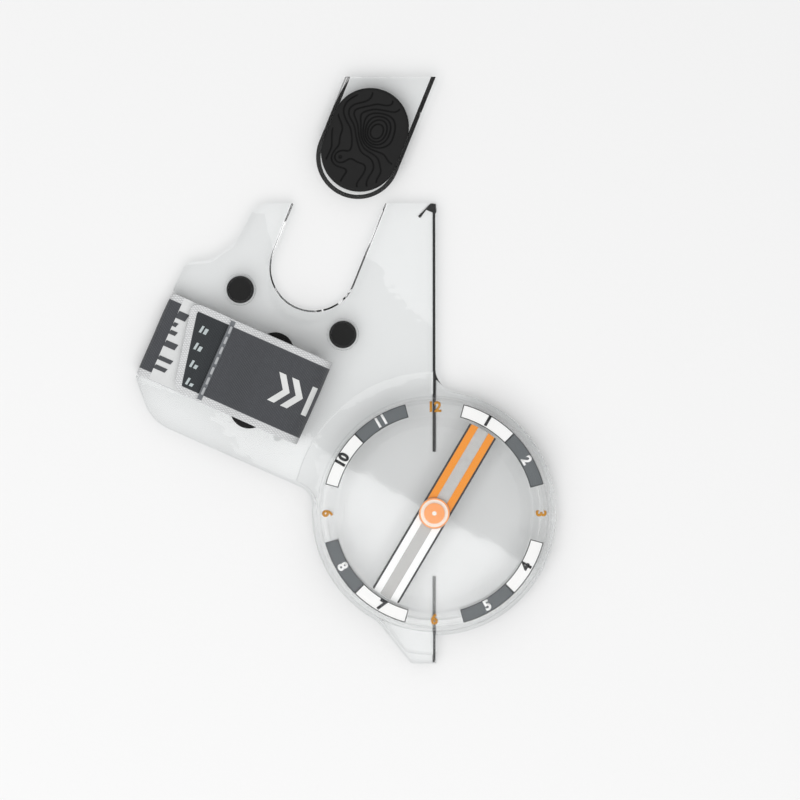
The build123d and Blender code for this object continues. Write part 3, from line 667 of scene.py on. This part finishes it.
# ---- hour scale ----
# Screen-printed on the top of the cup, under the lens: white and dark grey segments with thin dark
# frames, and the hours in black, white and amber. The lower hours are read from inside the ring.
scale_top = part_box("light_segments")[1].z
inner_ring, outer_ring = 20.25, 23.0
middle_ring = (inner_ring + outer_ring) / 2
frame_width = 0.17
figure_size = 2.85
hour_angle = radians(30)


def segment_frame(hour):
    """The printed frame of one segment: a strip with its inside cut away, bent to the ring."""
    bpy.ops.object.select_all(action="DESELECT")
    bpy.ops.mesh.primitive_grid_add(x_subdivisions=24, y_subdivisions=1, size=1)
    strip = bpy.context.object
    for vertex in strip.data.vertices:
        vertex.co.x *= hour_angle * middle_ring
        vertex.co.y *= outer_ring - inner_ring
    bpy.ops.object.mode_set(mode="EDIT")
    bpy.ops.mesh.select_all(action="SELECT")
    bpy.ops.mesh.inset(thickness=frame_width, use_boundary=True)
    bpy.ops.mesh.delete(type="FACE")
    bpy.ops.object.mode_set(mode="OBJECT")
    for vertex in strip.data.vertices:
        turn = hour_angle * hour + vertex.co.x / middle_ring
        radius = (middle_ring + vertex.co.y) * mm
        vertex.co = Vector((sin(turn) * radius, cos(turn) * radius, scale_top + 0.015 * mm))
    return strip


def hour_figure(hour, height, weight):
    """The outline of one hour's number, turned to its place on the ring."""
    bpy.ops.object.select_all(action="DESELECT")
    bpy.ops.object.text_add()
    text = bpy.context.object
    text.data.body = str(hour)
    text.data.size = figure_size * mm
    text.data.align_x = "CENTER"
    text.data.align_y = "CENTER"
    text.data.offset = weight * mm
    text.data.resolution_u = 5
    bpy.ops.object.convert(target="MESH")
    turn = hour_angle * hour
    outward = Vector((sin(turn), cos(turn), 0))
    up = -outward if 4 <= hour <= 8 else outward
    place = Matrix((Vector((up.y, -up.x, 0)), up, Vector((0, 0, 1)))).transposed().to_4x4()
    place.translation = outward * middle_ring * mm + Vector((0, 0, height))
    text.data.transform(place)
    return text


# screen ink: an even, slightly matt film
frame_ink = fine_finish("black_screen_ink", "26282A", 0.45, 0.1, 0.05, 0.05)
frames = joined([segment_frame(hour) for hour in (1, 2, 4, 5, 7, 8, 10, 11)], "segment_frames", 0.03)
fit(frames, "capsule", "dark_ink", frame_ink)
finish_node("light_segments", fine_finish("white_screen_ink", "F4F4F3", 0.45, 0.1, 0.05, 0.02))
finish_node("dark_segments", fine_finish("dark_grey_screen_ink", "5B6063", 0.45, 0.1, 0.05, 0.05))

numeral_mm = 0.04
printed = scale_top + 0.05 * mm
for name, hours, height, weight, slot, ink in (
        ("black_hours", (1, 4, 7, 10), printed, 0.15, "dark_ink", frame_ink),
        ("white_hours", (2, 5, 8, 11), printed, 0.12, "white_ink",
         fine_finish("white_hour_ink", "FAFAFA", 0.45, 0.1, 0.05, 0.01)),
        ("amber_hours", (12, 3, 6, 9), scale_top - 0.03 * mm, 0.12, "orange_ink",
         fine_finish("amber_hour_ink", "C98A22", 0.6, 0.1, 0.05, 0.05))):
    figures = [hour_figure(hour, height, weight) for hour in hours]
    fit(joined(figures, name, numeral_mm), "capsule", slot, ink)


# ---- needle ----
# A strip of frosted clear film with the north half printed orange and the south half white, inside
# thin dark edge lines. The clear stripe between the bands lets the map's lines show.
north_ink = fine_finish("orange_screen_ink", "F0921C", 0.45, 0.1, 0.05, 0.04)
finish_node("north_marking", north_ink)
finish_node("south_marking", fine_finish("white_needle_ink", "F8F8F8", 0.45, 0.1, 0.05, 0.02))
finish_node("needle_edge_lines", fine_finish("dark_line_ink", "2E2F31", 0.45, 0.1, 0.05, 0.05))

# frosted film: half clear, half pale haze, so that the stripe looks light grey
frosted, place = new_material("frosted_needle_film")
frosting = add(frosted, "ShaderNodeTexNoise", {"Vector": place, "Scale": 1 / (1.4 * mm), "Detail": 3.0})
cover = add(frosted, "ShaderNodeMapRange", {"Value": frosting.outputs[0], "To Min": 0.5, "To Max": 0.62})
haze = add(frosted, "ShaderNodeBsdfPrincipled", {"Base Color": linear("D9D8D6"), "Roughness": 0.5})
clear_part = add(frosted, "ShaderNodeBsdfTransparent", {"Color": linear("FAFAFA")})
end_with(frosted, add(frosted, "ShaderNodeMixShader", {
    0: cover.outputs[0], 1: clear_part.outputs[0], 2: haze.outputs[0]}))
smooth_moulding("needle_blade", "blade_film", "needle", "clear_film", frosted)


# ---- needle hub and bearing ----
# An orange moulded hub with a pale washer and an orange cap, a white jewel whose top shows as a dot,
# and a nickel-plated magnet underneath. They swing on a ground steel pin pressed in the cup.
# moulded plastic: a satin face with an even colour; nickel and steel: bright metal with fine lines
finish_node("needle_hub", fine_finish("orange_moulded_plastic", "F7A25E", 0.35, 0.1, 0.05, 0.04))
finish_node("hub_cap", fine_finish("orange_cap_plastic", "FBA565", 0.35, 0.1, 0.05, 0.04))
finish_node("hub_washer", fine_finish("pale_washer_plastic", "F3E6DA", 0.35, 0.1, 0.05, 0.02))
finish_node("jewel_bearing", fine_finish("white_sapphire", "F2EDE6", 0.2, 0.1, 0.02, 0.02))
finish_node("needle_magnet", fine_finish("nickel_plate", "9C9A94", 0.32, 0.1, 0.1, 0.1, metal=1.0))
finish_node("pivot_pin", fine_finish("ground_steel", "B4B6B8", 0.25, 0.08, 0.1, 0.08, metal=1.0))
